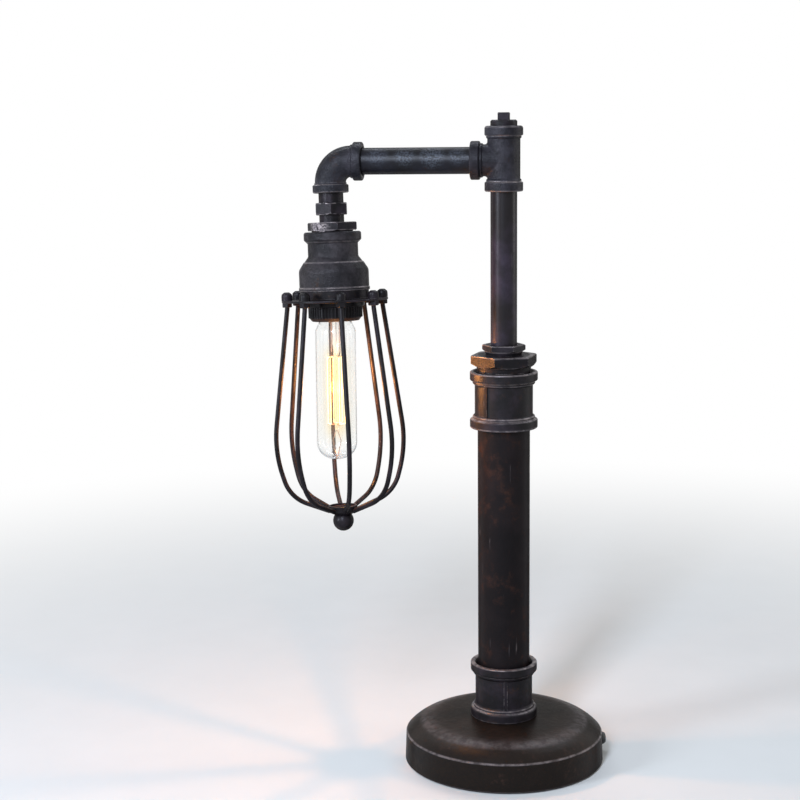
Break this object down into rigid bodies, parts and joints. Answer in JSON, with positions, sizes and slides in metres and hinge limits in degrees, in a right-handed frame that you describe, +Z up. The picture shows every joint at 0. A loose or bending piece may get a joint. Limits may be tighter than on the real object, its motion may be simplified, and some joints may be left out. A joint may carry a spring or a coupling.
{
  "type": "table lamp",
  "caption": "Industrial pipe table lamp: round cast base, threaded pipe upright with a swinging arm, and a wire cage round a tubular filament bulb that tilts on the arm.",
  "frame": {"origin": "centre of the felt under the base, on the upright's axis, where the lamp meets the table", "axes": "+Z up the upright pipe, -X along the arm towards the bulb, -Y to the front"},
  "size_m": [0.2686, 0.1644, 0.5316],
  "materials": {
    "cast_iron": "blackened, lightly rusted, edges worn to grey",
    "steel_pipe": "blackened steel with a faint sheen",
    "cage_metal": "black painted, worn",
    "zinc_steel": "bright zinc plated",
    "felt": "felt",
    "phenolic": "black moulded",
    "ceramic": "glazed",
    "brass": "polished",
    "clear_glass": "clear",
    "dark_glass": "glossy",
    "support_wire": "oxidised",
    "filament": "glowing",
    "lead_sheath": "matt"
  },
  "bodies": {
    "base": {"base_casting": "cast_iron", "bottom_cover": "zinc_steel", "felt_pad": "felt", "cover_screws": "zinc_steel", "earth_screw": "brass", "base_nipple": "steel_pipe", "base_washer": "zinc_steel", "base_locknut": "zinc_steel", "cord_gland": "phenolic", "gland_nut": "phenolic", "lower_socket": "cast_iron", "lower_riser": "steel_pipe", "upper_socket": "cast_iron", "reducing_bushing": "cast_iron", "base_lead": "lead_sheath"},
    "arm": {"backnut": "cast_iron", "upper_riser": "steel_pipe", "tee": "cast_iron", "square_plug": "cast_iron", "arm_pipe": "steel_pipe", "arm_lead": "lead_sheath"},
    "head": {"elbow": "cast_iron", "hex_nipple": "cast_iron", "head_bushing": "cast_iron", "bell_reducer": "cast_iron", "holder_tube": "zinc_steel", "holder_washer": "zinc_steel", "holder_locknut": "zinc_steel", "lampholder_cap": "phenolic", "lampholder_skirt": "phenolic", "lampholder_insulator": "ceramic", "screw_shell": "brass", "centre_contact": "brass", "terminal_screws": "brass", "shade_ring": "phenolic", "cage_gallery": "cage_metal", "acorn_nuts": "cage_metal", "cage_lower_nuts": "cage_metal", "cage_hub": "cage_metal", "finial": "cage_metal", "bulb_glass": "clear_glass", "bulb_cap": "brass", "bulb_insulator": "dark_glass", "bulb_button": "brass", "bulb_stem": "clear_glass", "bulb_supports": "support_wire", "filament": "filament", "head_lead": "lead_sheath", "cage_wire_1": "cage_metal", "cage_wire_2": "cage_metal", "cage_wire_3": "cage_metal", "cage_wire_4": "cage_metal", "cage_wire_5": "cage_metal", "cage_wire_6": "cage_metal", "cage_wire_7": "cage_metal", "cage_wire_8": "cage_metal"}
  },
  "joints": [
    {"name": "arm_swing", "type": "hinge", "parent": "base", "child": "arm", "pos_m": [0, 0, 0.3395], "axis": [0, 0, 1], "range_deg": [-90, 90]},
    {"name": "head_tilt", "type": "hinge", "parent": "arm", "child": "head", "pos_m": [-0.118, 0, 0.4943], "axis": [1, 0, 0], "range_deg": [-60, 60]}
  ]
}
